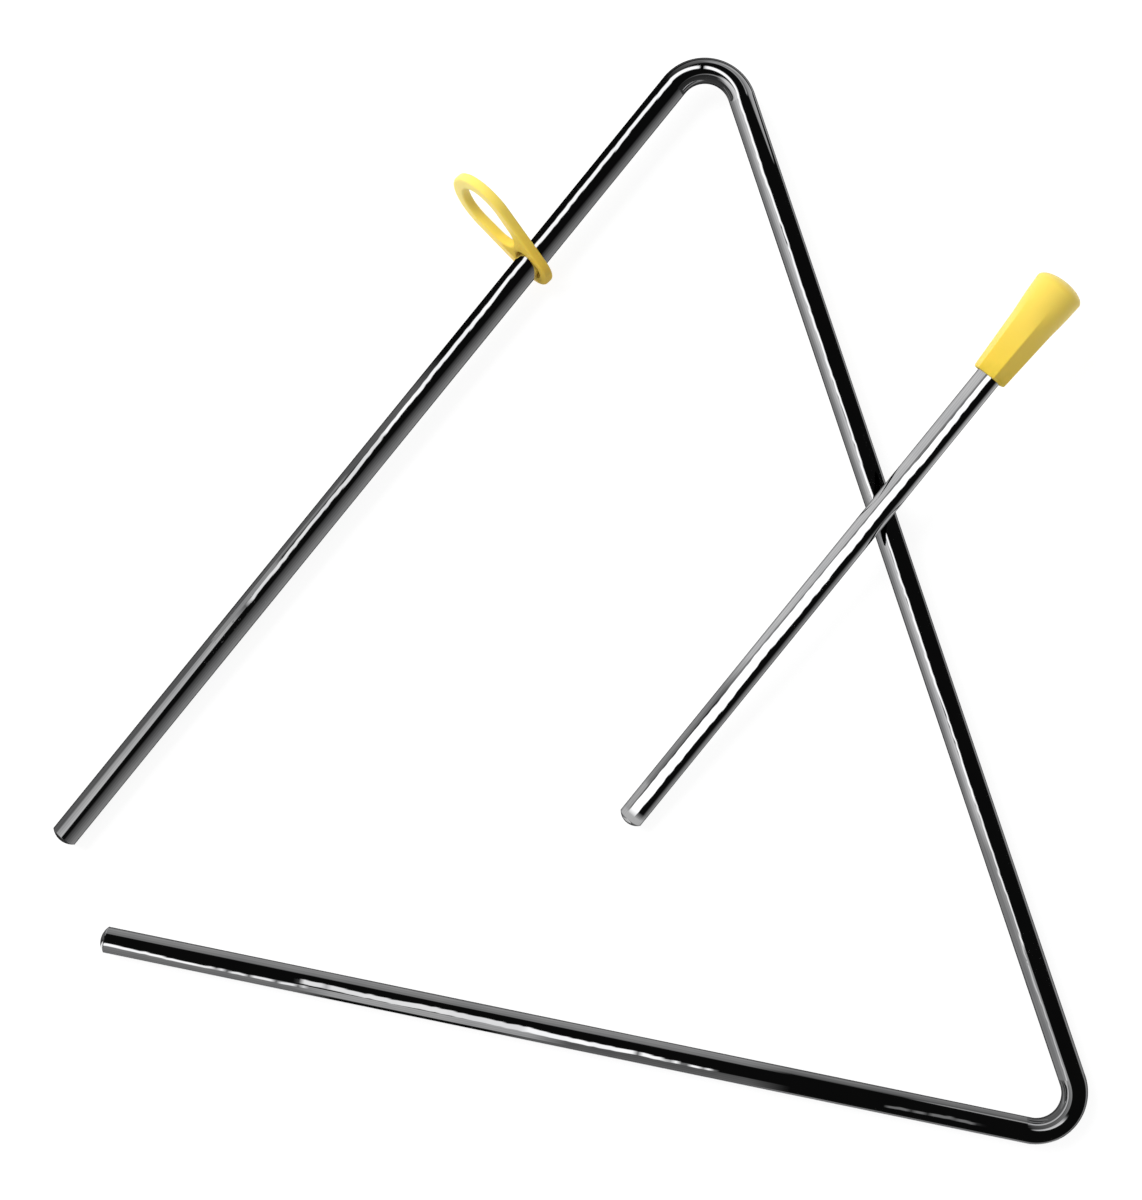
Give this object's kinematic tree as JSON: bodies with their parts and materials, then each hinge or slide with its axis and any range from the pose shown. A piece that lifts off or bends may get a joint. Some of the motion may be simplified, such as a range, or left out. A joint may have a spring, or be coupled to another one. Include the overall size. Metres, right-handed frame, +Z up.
{
  "type": "triangle instrument",
  "caption": "Musical triangle bent from round chromed bar and open at a corner, with a moulded finger holder that swings on its leg and a loose striker with a tapered grip.",
  "frame": {"origin": "middle of the bar's outline, on the table that the bar, the holder and the striker's tip rest on", "axes": "+X along the low leg from its free end towards the low bend, +Y in the table's plane towards the top bend, +Z up from the table"},
  "size_m": [0.2376, 0.222, 0.0229],
  "materials": {
    "chromed_steel": "polished",
    "yellow_plastic": "satin"
  },
  "bodies": {
    "triangle": {"triangle_bar": "chromed_steel"},
    "holder": {"finger_holder": "yellow_plastic"},
    "striker": {"striker_rod": "chromed_steel", "striker_grip": "yellow_plastic"}
  },
  "joints": [
    {"name": "holder_swing", "type": "hinge", "parent": "triangle", "child": "holder", "pos_m": [-0.04027, 0.05861, 0.00593], "axis": [0.4617, 0.8869, 0.0156], "continuous": true},
    {"name": "striker_lift", "type": "slide", "parent": "triangle", "child": "striker", "axis": [0, 0, 1], "range_m": [0, 0.12]}
  ]
}
